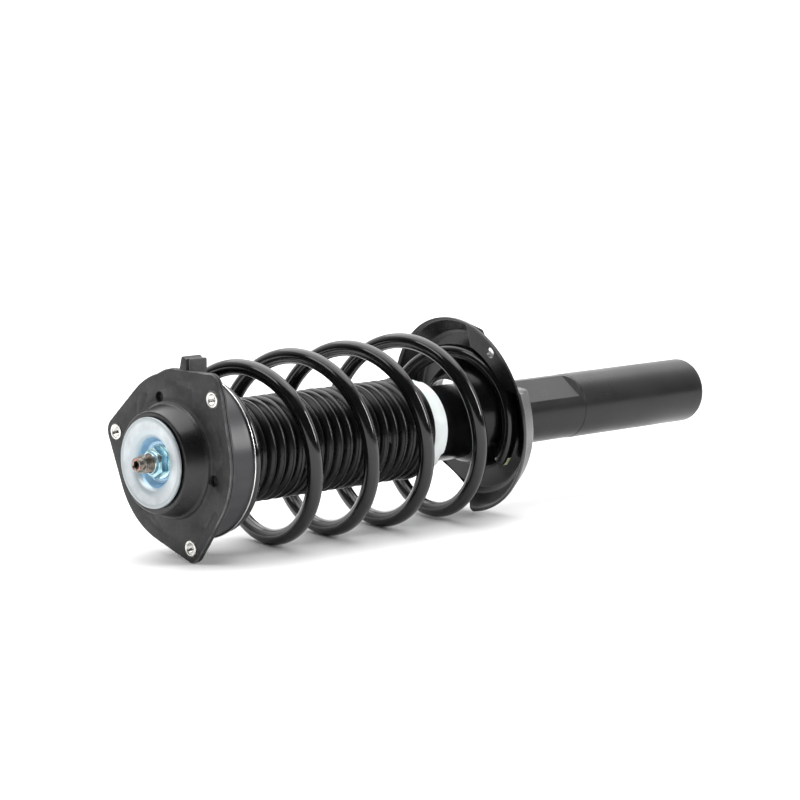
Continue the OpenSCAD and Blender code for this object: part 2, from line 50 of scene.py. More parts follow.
AXIS_HEIGHT = 77.0
MID_S = 300.0

# ---------- mesh tools ----------


def to_row(points):
    """Build-frame points in millimetres to row-frame points in metres."""
    p = np.asarray(points, float).reshape(-1, 3)
    return np.stack([p[:, 2] - MID_S, p[:, 0], p[:, 1] + AXIS_HEIGHT], axis=1) * MM


def polar(r, angle, s):
    a = math.radians(angle)
    return (r * math.cos(a), r * math.sin(a), s)


def smooth(t):
    t = min(1.0, max(0.0, t))
    return t * t * (3 - 2 * t)


def shade(mesh, angle=38):
    for p in mesh.polygons:
        p.use_smooth = True
    mesh.set_sharp_from_angle(angle=math.radians(angle))


def build(name, points, faces, sharp=38, row=False):
    """A new object from build-frame points, with its normals turned outwards."""
    mesh = bpy.data.meshes.new(name)
    co = np.asarray(points, float).reshape(-1, 3) if row else to_row(points)
    mesh.from_pydata([tuple(v) for v in co], [], faces)
    bm = bmesh.new()
    bm.from_mesh(mesh)
    bmesh.ops.remove_doubles(bm, verts=bm.verts, dist=1e-7)
    bmesh.ops.recalc_face_normals(bm, faces=bm.faces)
    bm.to_mesh(mesh)
    bm.free()
    mesh.validate()
    shade(mesh, sharp)
    obj = bpy.data.objects.new(name, mesh)
    bpy.context.scene.collection.objects.link(obj)
    return obj


def lattice_faces(rows, cols, wrap_rows, wrap_cols, offset=0):
    """Quads of a rows by cols grid of points."""
    faces = []
    for i in range(rows if wrap_rows else rows - 1):
        a, b = i * cols, ((i + 1) % rows) * cols
        for j in range(cols if wrap_cols else cols - 1):
            k = (j + 1) % cols
            faces.append((offset + a + j, offset + a + k, offset + b + k, offset + b + j))
    return faces


def rounded(profile, fillet=0.5, steps=4):
    """A closed outline with its corners rounded. A corner may carry its own fillet as a third number."""
    out = []
    n = len(profile)
    for i in range(n):
        before, here, after = profile[i - 1], profile[i], profile[(i + 1) % n]
        size = here[2] if len(here) > 2 else fillet
        p = Vector(here[:2])
        to_a, to_b = Vector(before[:2]) - p, Vector(after[:2]) - p
        reach = min(size, 0.45 * to_a.length, 0.45 * to_b.length)
        if size <= 0 or reach < 1e-4:
            out.append(tuple(p))
            continue
        a, b = p + to_a.normalized() * reach, p + to_b.normalized() * reach
        for k in range(steps + 1):
            t = k / steps
            out.append(tuple((1 - t) ** 2 * a + 2 * t * (1 - t) * p + t * t * b))
    return out


def divided(profile, longest):
    """The same closed outline with no stretch longer than the given length."""
    out = []
    for i, p in enumerate(profile):
        q = profile[(i + 1) % len(profile)]
        parts = max(1, math.ceil(math.hypot(q[0] - p[0], q[1] - p[1]) / longest))
        for k in range(parts):
            out.append((p[0] + (q[0] - p[0]) * k / parts, p[1] + (q[1] - p[1]) * k / parts))
    return out


def turned(name, profile, around=160, shape=None, sharp=38):
    """A closed profile of (radius, station) turned about the axis. shape may move each (r, angle, s)."""
    points = []
    for r, s in profile:
        for j in range(around):
            angle = 360 * j / around
            points.append(polar(*(shape(r, angle, s) if shape else (r, angle, s))))
    return build(name, points, lattice_faces(len(profile), around, True, True), sharp)


def rings(name, loops, sharp=38, closed=False):
    """A skin over loops of points, with a face across each end unless it closes on itself."""
    cols = len(loops[0])
    faces = lattice_faces(len(loops), cols, closed, True)
    if not closed:
        faces.append(tuple(range(cols)))
        faces.append(tuple((len(loops) - 1) * cols + j for j in range(cols)))
    return build(name, [p for loop in loops for p in loop], faces, sharp)


def cut(target, tools, operation="DIFFERENCE"):
    """Applies one boolean for each tool, and removes the tools."""
    for tool in tools:
        m = target.modifiers.new("cut", "BOOLEAN")
        m.operation = operation
        m.solver = "EXACT"
        m.object = tool
        bpy.context.view_layer.update()
        made = bpy.data.meshes.new_from_object(
            target.evaluated_get(bpy.context.evaluated_depsgraph_get())
        )
        target.modifiers.clear()
        target.data = made
        bpy.data.objects.remove(tool)
    return target


def piece(obj, body, slot, *nodes, materials=()):
    for m in materials:
        obj.data.materials.append(m)
    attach(obj, body)
    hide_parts(*nodes)
    return obj


def second_material(obj, test):
    """Gives the second material to the faces whose centre, in the build frame, passes the test."""
    for p in obj.data.polygons:
        c = p.center
        x, y, s = c[1] / MM, c[2] / MM - AXIS_HEIGHT, c[0] / MM + MID_S
        if test(math.hypot(x, y), math.degrees(math.atan2(y, x)), s):
            p.material_index = 1


# ---------- materials ----------


class Surface:
    """One procedural finish: mottled colour, uneven gloss and layered bump."""

    def __init__(self, name, dark, light, rough, metal=0.0, grain=60.0, stretch=(1, 1, 1)):
        self.material = bpy.data.materials.new(name)
        self.material.use_nodes = True
        self.tree = self.material.node_tree
        self.tree.nodes.clear()
        self.out = self.node("ShaderNodeOutputMaterial")
        self.shader = self.node("ShaderNodeBsdfPrincipled")
        self.link(self.shader.outputs["BSDF"], self.out.inputs["Surface"])
        self.shader.inputs["Metallic"].default_value = metal
        self.where = self.node("ShaderNodeTexCoord").outputs["Object"]
        if tuple(stretch) != (1, 1, 1):
            mapping = self.node("ShaderNodeMapping")
            mapping.inputs["Scale"].default_value = stretch
            self.link(self.where, mapping.inputs["Vector"])
            self.grained = mapping.outputs["Vector"]
        else:
            self.grained = self.where
        self.colour = self.ramp(
            self.noise(grain, 5, self.grained), [(0.36, dark), (0.64, light)]
        )
        self.link(self.colour, self.shader.inputs["Base Color"])
        low, high = rough
        spread = self.ramp(
            self.noise(grain * 0.45, 3, self.grained),
            [(0.35, (low, low, low)), (0.65, (high, high, high))],
        )
        self.link(spread, self.shader.inputs["Roughness"])
        self.rough = spread
        self.normal = None

    def node(self, kind):
        return self.tree.nodes.new(kind)

    def link(self, a, b):
        self.tree.links.new(a, b)

    def noise(self, scale, detail=3, where=None, roughness=0.55):
        n = self.node("ShaderNodeTexNoise")
        n.inputs["Scale"].default_value = scale
        n.inputs["Detail"].default_value = detail
        n.inputs["Roughness"].default_value = roughness
        self.link(self.where if where is None else where, n.inputs["Vector"])
        return n.outputs["Fac"]

    def ramp(self, value, stops):
        r = self.node("ShaderNodeValToRGB")
        e = r.color_ramp.elements
        while len(e) < len(stops):
            e.new(0.5)
        for k, (at, colour) in enumerate(stops):
            e[k].position = at
            e[k].color = (*colour, 1.0)
        self.link(value, r.inputs["Fac"])
        return r.outputs["Color"]

    def math(self, operation, a, b=None, clamp=False):
        n = self.node("ShaderNodeMath")
        n.operation = operation
        n.use_clamp = clamp
        for k, v in enumerate((a, b)):
            if v is None:
                continue
            if isinstance(v, (int, float)):
                n.inputs[k].default_value = v
            else:
                self.link(v, n.inputs[k])
        return n.outputs["Value"]

    def bump(self, height, strength, distance):
        b = self.node("ShaderNodeBump")
        b.inputs["Strength"].default_value = strength
        b.inputs["Distance"].default_value = distance
        self.link(height, b.inputs["Height"])
        if self.normal is not None:
            self.link(self.normal, b.inputs["Normal"])
        self.normal = b.outputs["Normal"]
        self.link(self.normal, self.shader.inputs["Normal"])
        return self

    def grainy(self, scale, strength, distance=0.0002, detail=2):
        return self.bump(self.noise(scale, detail, self.grained), strength, distance)

    def over(self, mask, colour, rough=None):
        """Paints another colour, and gloss, where the mask is 1."""
        m = self.node("ShaderNodeMix")
        m.data_type = "RGBA"
        self.link(mask, m.inputs["Factor"])
        self.link(self.colour, m.inputs[6])
        if isinstance(colour, tuple):
            m.inputs[7].default_value = (*colour, 1.0)
        else:
            self.link(colour, m.inputs[7])
        self.colour = m.outputs[2]
        self.link(self.colour, self.shader.inputs["Base Color"])
        if rough is not None:
            n = self.node("ShaderNodeMix")
            self.link(mask, n.inputs["Factor"])
            self.link(self.rough, n.inputs["A"])
            n.inputs["B"].default_value = rough
            self.rough = n.outputs["Result"]
            self.link(self.rough, self.shader.inputs["Roughness"])
        return self

    def axis_distance(self):
        """Distance from the damper axis, in metres."""
        parts = self.node("ShaderNodeSeparateXYZ")
        self.link(self.where, parts.inputs["Vector"])
        up = self.math("SUBTRACT", parts.outputs["Z"], AXIS_HEIGHT * MM)
        squares = self.math(
            "ADD",
            self.math("MULTIPLY", parts.outputs["Y"], parts.outputs["Y"]),
            self.math("MULTIPLY", up, up),
        )
        return self.math("SQRT", squares)

    def along(self):
        """The row's X, in metres."""
        parts = self.node("ShaderNodeSeparateXYZ")
        self.link(self.where, parts.inputs["Vector"])
        return parts.outputs["X"]

    def step(self, value, low, high):
        """0 where the value is below low, 1 where it is above high."""
        n = self.node("ShaderNodeMapRange")
        n.inputs["From Min"].default_value = low
        n.inputs["From Max"].default_value = high
        self.link(value, n.inputs["Value"])
        return n.outputs["Result"]

    def set(self, **values):
        names = {"coat": "Coat Weight", "coat_rough": "Coat Roughness", "ior": "IOR",
                 "specular": "Specular IOR Level", "sheen": "Sheen Weight", "sss": "Subsurface Weight",
                 "sss_scale": "Subsurface Scale", "aniso": "Anisotropic"}
        for k, v in values.items():
            self.shader.inputs[names[k]].default_value = v
        return self


# zinc-plated washer: white flat rim, blue passivated well
zinc = Surface("zinc", (0.50, 0.54, 0.56), (0.61, 0.65, 0.67), (0.34, 0.46), 0.40, 90)
# painted shade: the rim's outer edge and bevel are coloured darker
zinc.over(zinc.step(zinc.axis_distance(), 0.0312, 0.0322), (0.42, 0.46, 0.48), 0.40)
zinc.over(zinc.step(zinc.axis_distance(), 0.0258, 0.0244), (0.50, 0.57, 0.60), 0.34)
zinc.over(zinc.step(zinc.axis_distance(), 0.0200, 0.0186), (0.40, 0.60, 0.78), 0.22)
zinc.grainy(900, 0.25, 0.0001).grainy(120, 0.12, 0.0002)

nut_zinc = Surface("nut_zinc", (0.30, 0.50, 0.55), (0.62, 0.76, 0.78), (0.16, 0.30), 1.0, 160)
nut_zinc.grainy(700, 0.2, 0.0001)

insert_steel = Surface("insert_steel", (0.62, 0.61, 0.58), (0.86, 0.85, 0.82), (0.18, 0.34), 1.0, 300)
insert_steel.grainy(1500, 0.2, 0.0001)

rod_end = Surface("rod_end", (0.13, 0.115, 0.10), (0.34, 0.31, 0.27), (0.24, 0.42), 0.9, 240)
rod_end.grainy(1400, 0.25, 0.0001)
tip_edge = rod_end.math(
    "ADD", rod_end.along(), rod_end.math("MULTIPLY", rod_end.noise(420, 3), 0.004)
)
rod_end.over(rod_end.step(tip_edge, -0.3112, -0.3120), (0.62, 0.20, 0.16), 0.42)

chrome = Surface("chrome_rod", (0.52, 0.53, 0.55), (0.66, 0.67, 0.68), (0.06, 0.12), 1.0, 40, (1, 8, 8))
chrome.grainy(900, 0.05, 0.0001)

rubber = Surface("mount_rubber", (0.011, 0.011, 0.012), (0.023, 0.023, 0.024), (0.46, 0.62), 0.0, 55)
dust = rubber.ramp(rubber.noise(130, 8, roughness=0.7), [(0.50, (0, 0, 0)), (0.72, (0.55, 0.55, 0.55))])
rubber.over(dust, (0.062, 0.062, 0.061), 0.72)
specks = rubber.ramp(rubber.noise(900, 2), [(0.70, (0, 0, 0)), (0.76, (0.8, 0.8, 0.8))])
rubber.over(specks, (0.13, 0.13, 0.125))
rubber.grainy(60, 0.35, 0.0012, 4).grainy(900, 0.35, 0.0002, 3)

boss_rubber = Surface("boss_rubber", (0.0035, 0.0035, 0.004), (0.0075, 0.0075, 0.008), (0.24, 0.36), 0.0, 60)
boss_rubber.grainy(900, 0.2, 0.0001, 3).grainy(110, 0.2, 0.0004)

# painted highlight: a lighter colour on the plate's side edges stands in for the highlight lines along them
painted_edge_highlight = Surface("painted_edge_highlight", (0.035, 0.035, 0.036), (0.13, 0.13, 0.13), (0.34, 0.50), 0.0, 110)
painted_edge_highlight.grainy(700, 0.4, 0.0002, 3)

seat_coat = Surface("seat_coat", (0.016, 0.0165, 0.019), (0.026, 0.0265, 0.030), (0.28, 0.40), 0.0,
                    45, (0.3, 1, 1))
seat_coat.set(specular=0.4)
seat_coat.grainy(1100, 0.22, 0.0001).grainy(140, 0.10, 0.0003)

bare_edge = Surface("bare_edge", (0.55, 0.55, 0.54), (0.85, 0.85, 0.84), (0.20, 0.34), 1.0, 200)
bare_edge.grainy(1500, 0.3, 0.0001)

spring_coat = Surface("spring_coat", (0.0030, 0.0030, 0.0034), (0.0060, 0.0060, 0.0066), (0.10, 0.17),
                      0.0, 70)
spring_coat.grainy(1300, 0.10, 0.0001).grainy(260, 0.14, 0.0002)
spring_coat.set(specular=0.5)

paint_mark = Surface("paint_mark", (0.72, 0.74, 0.42), (0.86, 0.85, 0.60), (0.40, 0.55), 0.0, 300)
paint_mark.grainy(700, 0.3, 0.0002)

bellows_rubber = Surface("bellows_rubber", (0.0022, 0.0022, 0.0025), (0.0050, 0.0050, 0.0055),
                         (0.20, 0.32), 0.0, 50)
bellows_rubber.grainy(1200, 0.15, 0.0001).grainy(150, 0.12, 0.0003).set(specular=0.36)

cap_white = Surface("cap_white", (0.74, 0.80, 0.79), (0.84, 0.89, 0.88), (0.36, 0.50), 0.0, 60)
cap_white.grainy(800, 0.10, 0.0001).set(sss=0.12, sss_scale=0.004)

tube_paint = Surface("tube_paint", (0.0036, 0.0037, 0.0042), (0.0066, 0.0067, 0.0074), (0.27, 0.37), 0.0, 30)
tube_paint.grainy(1300, 0.22, 0.0001).grainy(220, 0.10, 0.0003).set(specular=0.26)

seat_paint = Surface("seat_paint", (0.0030, 0.0030, 0.0035), (0.0062, 0.0062, 0.0069), (0.18, 0.27), 0.0, 45)
seat_paint.grainy(1200, 0.16, 0.0001).grainy(160, 0.16, 0.0004).set(specular=0.32)

weld_paint = Surface("weld_paint", (0.010, 0.010, 0.011), (0.03, 0.03, 0.032), (0.28, 0.45), 0.0, 200)
weld_paint.grainy(500, 0.5, 0.0004)

plain_steel = Surface("plain_steel", (0.34, 0.34, 0.35), (0.50, 0.50, 0.50), (0.28, 0.44), 1.0, 120)
plain_steel.grainy(900, 0.2, 0.0001)
bearing_steel = Surface("bearing_steel", (0.50, 0.50, 0.51), (0.64, 0.64, 0.64), (0.14, 0.26), 1.0,
                        150, (6, 1, 1))
bearing_steel.grainy(900, 0.1, 0.0001)
ball_steel = Surface("ball_steel", (0.66, 0.66, 0.68), (0.80, 0.80, 0.81), (0.05, 0.10), 1.0, 200)
ball_steel.grainy(1200, 0.04, 0.0001)
cage_nylon = Surface("cage_nylon", (0.62, 0.56, 0.38), (0.74, 0.69, 0.50), (0.40, 0.55), 0.0, 90)
cage_nylon.grainy(700, 0.2, 0.0001)
isolator_rubber = Surface("isolator_rubber", (0.016, 0.016, 0.017), (0.032, 0.032, 0.033),
                          (0.50, 0.64), 0.0, 70)
isolator_rubber.grainy(700, 0.3, 0.0002)
bump_foam = Surface("bump_foam", (0.58, 0.46, 0.18), (0.76, 0.64, 0.30), (0.62, 0.80), 0.0, 160)
bump_foam.grainy(1400, 0.6, 0.0003, 4)
guide_plastic = Surface("guide_plastic", (0.14, 0.11, 0.08), (0.22, 0.17, 0.13), (0.34, 0.48), 0.0, 100)
guide_plastic.grainy(900, 0.15, 0.0001)
sintered_iron = Surface("sintered_iron", (0.17, 0.17, 0.165), (0.30, 0.30, 0.29), (0.42, 0.60), 0.9, 400)
sintered_iron.grainy(2200, 0.5, 0.0002, 4)
bush_bronze = Surface("bush_bronze", (0.42, 0.25, 0.09), (0.60, 0.38, 0.16), (0.24, 0.38), 1.0, 160)
bush_bronze.grainy(900, 0.2, 0.0001)
shim_steel = Surface("shim_steel", (0.48, 0.50, 0.54), (0.64, 0.65, 0.68), (0.12, 0.22), 1.0, 160)
shim_steel.grainy(900, 0.1, 0.0001)
seal_rubber = Surface("seal_rubber", (0.014, 0.014, 0.015), (0.026, 0.026, 0.027), (0.36, 0.50), 0.0, 100)
seal_rubber.grainy(900, 0.2, 0.0001)
tube_steel = Surface("tube_steel", (0.42, 0.42, 0.44), (0.56, 0.56, 0.57), (0.20, 0.32), 1.0, 60, (0.2, 1, 1))
tube_steel.grainy(800, 0.12, 0.0001)

CARRIED = {
    "mount_core": plain_steel,
    "inner_sleeve": plain_steel,
    "bearing_upper_race": bearing_steel,
    "bearing_lower_race": bearing_steel,
    "bearing_cage": cage_nylon,
    "bearing_balls": ball_steel,
    "spring_isolator": isolator_rubber,
    "bump_stop": bump_foam,
    "bump_stop_cup": plain_steel,
    "rebound_stop": guide_plastic,
    "piston": sintered_iron,
    "piston_band": bush_bronze,
    "upper_shims": shim_steel,
    "lower_shims": shim_steel,
    "piston_nut": plain_steel,
    "rod_seal": seal_rubber,
    "rod_guide": sintered_iron,
    "guide_bush": bush_bronze,
    "pressure_tube": tube_steel,
    "base_valve": sintered_iron,
    "base_shims": shim_steel,
}
for node_name, finish in CARRIED.items():
    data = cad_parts[node_name].data
    data.materials.clear()
    data.materials.append(finish.material)
    shade(data, 32)

# ---------- rod, nut and washer ----------

THREAD_R = 7.0
THREAD_PITCH = 2.0
ROD_R = 11.0
TIP_S = -13.4


def thread_depth(s, angle, pitch):
    """0 on the crest and 1 in the root of a single right-handed thread."""
    t = (s / pitch - angle / 360) % 1.0
    ridge = abs(2 * t - 1)
    return min(1.0, max(0.0, (ridge - 0.12) / 0.76))


def rod_radius(s, angle):
    pilot = 5.5 + 0.6 * smooth((s - TIP_S) / 4.5)
    if s < -9.0:
        return pilot
    cut_in = smooth((s + 9.0) / 0.9)
    return pilot + (THREAD_R - 1.25 * thread_depth(s, angle, THREAD_PITCH) - pilot) * cut_in


def hexagon(flats, angle, turn=0.0):
    """Radius of a hexagon of that width across its flats, with a corner at the turn angle."""
    a = (angle - turn - 30) % 60 - 30
    return flats / 2 / math.cos(math.radians(a))


def make_rod():
    around = 96
    loops = []

    def loop(radius, s):
        loops.append([polar(radius(s, 360 * j / around) if callable(radius) else radius,
                            360 * j / around, s) for j in range(around)])

    # hex socket from its floor out to the face, then the outside down to the piston
    loop(0.05, TIP_S + 7.6)
    loop(lambda s, a: hexagon(6.0, a, 12) * 0.55, TIP_S + 7.2)
    loop(lambda s, a: hexagon(6.0, a, 12), TIP_S + 6.6)
    loop(lambda s, a: hexagon(6.0, a, 12), TIP_S + 0.55)
    loop(3.75, TIP_S + 0.08)
    loop(4.0, TIP_S)
    loop(4.9, TIP_S)
    loop(5.25, TIP_S + 0.12)
    loop(5.45, TIP_S + 0.45)
    s = TIP_S + 0.9
    while s < 12.0:
        loop(rod_radius, s)
        s += 0.16 if s > -9.4 else 0.5
    for r, at in [(THREAD_R - 0.6, 12.4), (THREAD_R - 0.2, 13.4), (THREAD_R, 13.6), (THREAD_R, 36.9),
                  (10.4, 37.0), (10.8, 37.15), (ROD_R, 37.5), (ROD_R, 315.6), (10.7, 316.4),
                  (10.1, 316.95), (9.6, 317.0), (5.2, 317.05), (5.0, 317.3), (5.0, 344.6),
                  (4.7, 345.4), (4.0, 346.0), (0.05, 346.0)]:
        loop(r, at)
    rod = rings("rod", loops, sharp=30)
    piece(rod, "mount", "rod_steel", "piston_rod", materials=(chrome.material, rod_end.material))
    second_material(rod, lambda r, a, s: s < 36.95)
    return rod


def make_nut():
    around = 180
    flats, turn = 21.0, 0.0
    loops = []

    def loop(radius, s):
        loops.append([polar(radius(360 * j / around) if callable(radius) else radius,
                            360 * j / around, s) for j in range(around)])

    def hexed(limit):
        return lambda a: min(limit, hexagon(flats, a, turn))

    def crimped(r):
        # prevailing-torque collar pressed in at three places
        return lambda a: r - 0.45 * max(0.0, math.cos(math.radians(3 * (a - 30)))) ** 6

    loop(THREAD_R + 0.1, 10.9)
    loop(THREAD_R + 0.1, 0.3)
    loop(7.35, -0.5)
    loop(7.6, -0.75)
    loop(crimped(7.9), -0.8)
    loop(crimped(8.2), -0.55)
    loop(crimped(8.35), -0.1)
    loop(8.5, 1.0)
    loop(8.7, 1.9)
    loop(9.3, 2.4)
    loop(10.0, 2.58)
    for k in range(9):
        t = k / 8
        loop(hexed(10.3 + 1.9 * t), 2.6 + 1.25 * t)
    for s in (5.0, 6.5, 8.0, 9.0, 9.5):
        loop(hexed(12.2), s)
    loop(lambda a: max(12.5, hexed(12.2)(a)), 9.62)
    loop(13.0, 9.75)
    loop(13.35, 10.05)
    loop(13.4, 10.5)
    loop(13.3, 10.95)
    loop(12.8, 11.0)
    nut = rings("nut", loops, sharp=24, closed=True)
    return piece(nut, "mount", "nut_zinc", "rod_nut", materials=(nut_zinc.material,))


def make_washer():
    profile = rounded([(7.1, 11, 0.2), (15.9, 11, 1.6), (18.9, 4.6, 2.2), (21.6, 1.9, 2.2),
                       (24.5, 1.2, 1.0), (33.7, 0.0, 0.7), (34.8, 0.5, 0.5), (34.8, 2.3, 0.5),
                       (34.2, 2.7, 0.3), (24.2, 4.0, 1.0), (22.2, 5.0, 1.6), (18.9, 12.8, 1.6),
                       (18.0, 13.6, 0.7), (7.1, 13.6, 0.2)], 0.5, 5)
    washer = turned("washer", divided(profile, 2.2), around=220)
    return piece(washer, "mount", "zinc", "dish_washer", materials=(zinc.material,))


make_rod()
make_nut()
make_washer()

# ---------- rubber mount ----------

PLATE_S = 22.5
PLATE_R, BOLT_R, LOBE_R, LOBE_DIR = 67.0, 68.6, 11.2, 12.6
INSERT_R, INSERT_THREAD_R, INSERT_PITCH = 6.2, 4.0, 1.25


def plate_outline(inset):
    """The plate's edge as arcs round the disc and the three lobes."""
    disc, lobe = PLATE_R - inset, LOBE_R - inset
    touch = math.degrees(math.acos((PLATE_R - LOBE_R) / BOLT_R))
    points = []
    for k in range(3):
        middle = LOBE_DIR + 120 * k
        cx, cy, _ = polar(BOLT_R, middle, 0)
        for i in range(25):
            x, y, _ = polar(lobe, middle - touch + 2 * touch * i / 24, 0)
            points.append((cx + x, cy + y))
        # tangent stretch, then the disc, then the next tangent stretch
        for i in range(1, 48):
            a = middle + touch + (120 - 2 * touch) * (i - 4) / 40
            if 4 <= i <= 44:
                x, y, _ = polar(disc, a, 0)
                points.append((x, y))
    return points


def slab(name, outline, steps):
    """A plate from (inset, station) steps over an outline function."""
    return rings(name, [[(x, y, s) for x, y in outline(inset)] for inset, s in steps])


def edge(inset_from, s_from, inset_to, s_to, round_first, steps=5):
    """A quarter round between two (inset, station) pairs."""
    out = []
    for k in range(steps + 1):
        t = math.radians(90 * k / steps)
        a, b = (1 - math.cos(t), math.sin(t)) if round_first else (math.sin(t), 1 - math.cos(t))
        out.append((inset_from + (inset_to - inset_from) * b, s_from + (s_to - s_from) * a))
    return out


def drum(name, profile, around=128, centre=(0, 0)):
    """A closed solid turned from an open profile of (radius, station) about its own axis."""
    cx, cy = centre
    loops = [[(cx + r * math.cos(math.tau * j / around), cy + r * math.sin(math.tau * j / around), s)
              for j in range(around)] for r, s in profile]
    return rings(name, loops)


def ball(name, centre, r, squash=1.0):
    loops = []
    for i in range(1, 16):
        a = math.pi * i / 16
        loops.append([(centre[0] + r * math.sin(a) * math.cos(math.tau * j / 32),
                       centre[1] + r * math.sin(a) * math.sin(math.tau * j / 32),
                       centre[2] - r * math.cos(a) * squash) for j in range(32)])
    return rings(name, loops)


LAND_CORNER, LAND_R = (-43.5, 59.6), 10.0


def direction(point):
    return math.degrees(math.atan2(point[1], point[0])) % 360


LAND_FROM = direction((19.6, 63.8))
LAND_TO = 136.2


def mount_outline(inset):
    """The plate's edge with the land that runs from the tab to the second lobe."""
    cx, cy = LAND_CORNER
    land = [(19.6 - 0.3 * inset, 63.8 - inset), (9.0 - 0.3 * inset, 68.4 - inset), (1.0, 70.2 - inset)]
    for angle in range(90, 156, 5):
        x, y, _ = polar(LAND_R - inset, angle, 0)
        land.append((cx + x, cy + y))
    # the same points are kept at every inset, so that the loops match
    kept = sorted((direction(full), point) for full, point in zip(plate_outline(0), plate_outline(inset)))
    before = [point for angle, point in kept if angle < LAND_FROM]
    after = [point for angle, point in kept if angle > LAND_TO]
    return before + land + after


def tab_section(inset):
    """The tab across the axis: one slanted side, a small peak and a flat top."""
    section = rounded([(-20.5 + inset, 64.0), (-20.5 + inset, 78.8 - inset, 1.6), (-15.6, 78.4 - inset, 1.0),
                       (-12.8, 80.3 - inset, 0.8), (-10.8 - inset * 0.5, 79.9 - inset, 0.8),
                       (-7.0 - inset, 66.0, 1.0), (-6.6 - inset, 64.0)], 0.0, 4)
    return section


def make_mount():
    side = [(6.0, PLATE_S)] + edge(1.3, PLATE_S, 0.0, PLATE_S + 1.2, True)
    side += [(0.0, 24.3), (0.15, 24.55), (0.9, 24.75), (0.9, 25.0), (0.2, 25.2), (0.0, 25.45)]
    side += [(0.0, 26.7)] + edge(0.0, 26.7, 0.8, 27.5, False)[1:] + [(6.0, 27.5)]
    body = slab("mount_body", mount_outline, side)
    boss = drum("boss", [(0.5, 13.9), (21.4, 13.9), (22.2, 12.0), (24.6, 5.8), (26.0, 5.2),
                         (37.4, 3.3), (38.4, 3.45), (38.9, 3.9), (39.2, 4.8), (42.7, 18.0),
                         (43.2, 18.7), (44.3, 19.3), (44.9, 19.9), (45.0, 20.6), (45.5, 21.7),
                         (46.6, 22.35), (48.2, 22.6), (48.2, 24.4), (0.5, 24.4)], 160)
    hub = drum("hub", [(0.5, 24.0), (25.0, 24.0), (25.0, 36.4), (24.4, 37.0), (0.5, 37.0)], 96)
    tab = slab("tab", tab_section, edge(0.9, 22.9, 0.0, 23.8, True, 3) + [(0.0, 39.6)]
               + edge(0.0, 39.6, 1.1, 40.7, False, 3)[1:])
    groove = rings("groove", [[(-20.3, z, 22.0), (-18.4, z, 25.4), (-17.6, z, 25.5), (-15.9, z, 22.0)]
                              for z in (69.5, 84.0)])
    cut(tab, [groove])
    cut(body, [boss, hub, tab], "UNION")
    tools = []
    for k in range(3):
        x, y, _ = polar(BOLT_R, LOBE_DIR + 120 * k, 0)
        tools.append(drum("insert_hole", [(7.3, 21.0), (7.3, 22.35), (6.9, 22.9), (INSERT_R, 23.3),
                                          (INSERT_R, 40.0)], 64, (x, y)))
        x, y, _ = polar(49.0, LOBE_DIR + 60 + 120 * k, 0)
        tools.append(drum("blind_hole", [(5.0, 21.0), (5.0, 22.4), (4.4, 22.8), (4.2, 23.4),
                                         (4.15, 25.9), (0.3, 26.05)], 48, (x, y)))
        for r, a, size in ((57.0, 30.0, 7.0), (60.0, 82.0, 6.0), (56.0, 46.0, 5.0), (59.5, 100.0, 6.5)):
            x, y, _ = polar(r, LOBE_DIR + a + 120 * k, 0)
            tools.append(ball("dimple", (x, y, PLATE_S - size + 0.28), size))
    tools.append(drum("bore", [(11.55, 0.0), (11.55, 50.0)], 96))
    cut(body, tools)
    shade(body.data, 34)
    piece(body, "mount", "mount_rubber", "mount_rubber",
          materials=(rubber.material, boss_rubber.material, painted_edge_highlight.material))
    second_material(body, lambda r, a, s: r < 44.6 and s < 22.3)
    # painted highlight: the faces along the plate's side edges get the lighter edge colour
    for p in body.data.polygons:
        s = p.center[0] / MM + MID_S
        x, y = p.center[1] / MM, p.center[2] / MM - AXIS_HEIGHT
        if math.hypot(x, y) > 58 and (22.53 < s < 23.4 or 24.4 < s < 25.3) and abs(p.normal[0]) < 0.95:
            p.material_index = 2
    return body


def make_inserts():
    around = 72
    points, faces = [], []
    for k in range(3):
        cx, cy, _ = polar(BOLT_R, LOBE_DIR + 120 * k, 0)
        loops = [(6.2, 27.9), (6.2, 22.4), (6.05, 22.05), (5.7, 21.9), (4.5, 21.9), (4.15, 22.1)]
        loops += [(None, 22.4 + 0.125 * i) for i in range(44)]
        loops += [(3.7, 27.95), (4.2, 28.0), (5.9, 28.0)]
        offset = len(points)
        for r, s in loops:
            for j in range(around):
                a = 360 * j / around
                radius = r
                if r is None:
                    groove = (1 - thread_depth(s, a, INSERT_PITCH)) * smooth((s - 22.3) / 0.5)
                    radius = INSERT_THREAD_R - 0.62 * groove
                x, y, _ = polar(radius, a, 0)
                points.append((cx + x, cy + y, s))
        faces += lattice_faces(len(loops), around, True, True, offset)
    obj = build("inserts", points, faces, 30)
    return piece(obj, "mount", "insert_steel", "threaded_inserts", materials=(insert_steel.material,))


make_mount()
make_inserts()

# ---------- upper spring seat ----------


def make_upper_seat():
    profile = rounded([(26.5, 39.5, 0.3), (60, 39.5, 1.2), (60, 30.5, 1.5), (50, 30.5, 0.4), (50, 28.5, 0.4),
                       (61.2, 28.5, 1.6), (62.0, 30.0, 1.2), (62.0, 49.2, 0.8), (63.0, 50.0, 0.4),
                       (63.6, 50.2, 0.25), (63.6, 51.0, 0.3), (60.2, 51.0, 0.3), (60.0, 41.5, 1.2),
                       (26.5, 41.5, 0.3)], 0.5, 4)
    seat = turned("upper_seat_cup", divided(profile, 4.0), around=200)
    piece(seat, "upper_seat", "seat_coat_upper", "upper_spring_seat",
          materials=(seat_coat.material, bare_edge.material))
    second_material(seat, lambda r, a, s: s > 50.02 and r > 60.4)
    return seat


make_upper_seat()

# ---------- coil spring ----------

